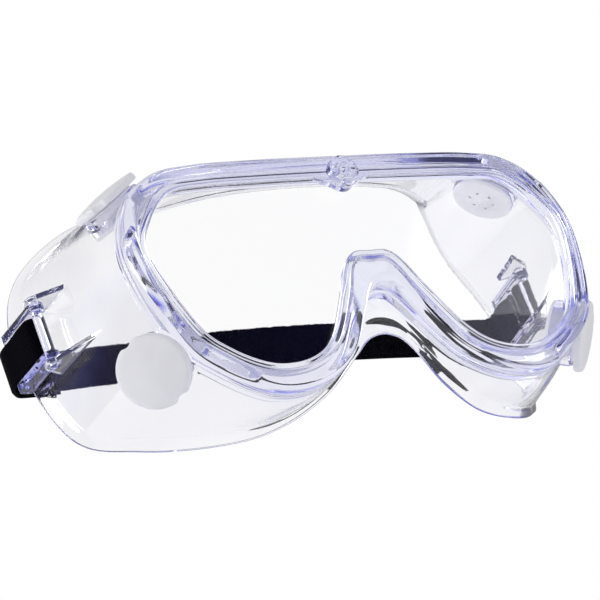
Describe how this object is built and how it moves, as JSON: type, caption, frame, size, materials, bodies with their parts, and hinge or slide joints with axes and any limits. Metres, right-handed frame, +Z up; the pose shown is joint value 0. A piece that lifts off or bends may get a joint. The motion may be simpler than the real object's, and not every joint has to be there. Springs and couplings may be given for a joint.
{
  "type": "safety goggles",
  "caption": "Clear wrap-around safety goggles with a soft face skirt, one wide lens, capped vents and an elastic strap on swivelling buckles.",
  "frame": {"origin": "centre of the window on the front of the rim, in the plane of the rim's inner edge at the middle", "axes": "+X to the right as seen from the front, +Y back towards the face, +Z up"},
  "size_m": [0.1826, 0.0753, 0.089],
  "materials": {
    "clear_frame": "clear soft PVC, faint blue-violet in thick edges",
    "clear_lens": "clear hard polycarbonate sheet, polished",
    "clear_stud": "clear moulded plastic",
    "vent_cap_white": "white moulded plastic, satin",
    "vent_base_white": "white moulded plastic, satin",
    "buckle_clear": "clear hard plastic with a blue-violet tint",
    "strap_webbing": "black woven elastic"
  },
  "bodies": {
    "frame": {"frame_body": "clear_frame", "lens": "clear_lens", "lens_stud": "clear_stud", "strap_band": "strap_webbing", "vent_base_upper_left": "vent_base_white", "vent_base_upper_right": "vent_base_white", "vent_base_lower_left": "vent_base_white", "vent_base_lower_right": "vent_base_white"},
    "buckle_left": {"buckle_left": "buckle_clear", "strap_end_left": "strap_webbing"},
    "buckle_right": {"buckle_right": "buckle_clear", "strap_end_right": "strap_webbing"},
    "cap_upper_left": {"vent_cap_upper_left": "vent_cap_white"},
    "cap_upper_right": {"vent_cap_upper_right": "vent_cap_white"},
    "cap_lower_left": {"vent_cap_lower_left": "vent_cap_white"},
    "cap_lower_right": {"vent_cap_lower_right": "vent_cap_white"}
  },
  "joints": [
    {"name": "buckle_left_swivel", "type": "hinge", "parent": "frame", "child": "buckle_left", "pos_m": [-0.087, 0.046, 0.0105], "axis": [0, 0, 1], "range_deg": [0, 70]},
    {"name": "buckle_right_swivel", "type": "hinge", "parent": "frame", "child": "buckle_right", "pos_m": [0.087, 0.046, 0.0105], "axis": [0, 0, -1], "range_deg": [0, 70]},
    {"name": "cap_upper_left_slide", "type": "slide", "parent": "frame", "child": "cap_upper_left", "axis": [-0.5652, -0.2001, 0.8003], "range_m": [0, 0.0012]},
    {"name": "cap_upper_right_slide", "type": "slide", "parent": "frame", "child": "cap_upper_right", "axis": [0.5652, -0.2001, 0.8003], "range_m": [0, 0.0012]},
    {"name": "cap_lower_left_slide", "type": "slide", "parent": "frame", "child": "cap_lower_left", "axis": [-0.6823, -0.5017, -0.5318], "range_m": [0, 0.0012]},
    {"name": "cap_lower_right_slide", "type": "slide", "parent": "frame", "child": "cap_lower_right", "axis": [0.6823, -0.5017, -0.5318], "range_m": [0, 0.0012]}
  ]
}
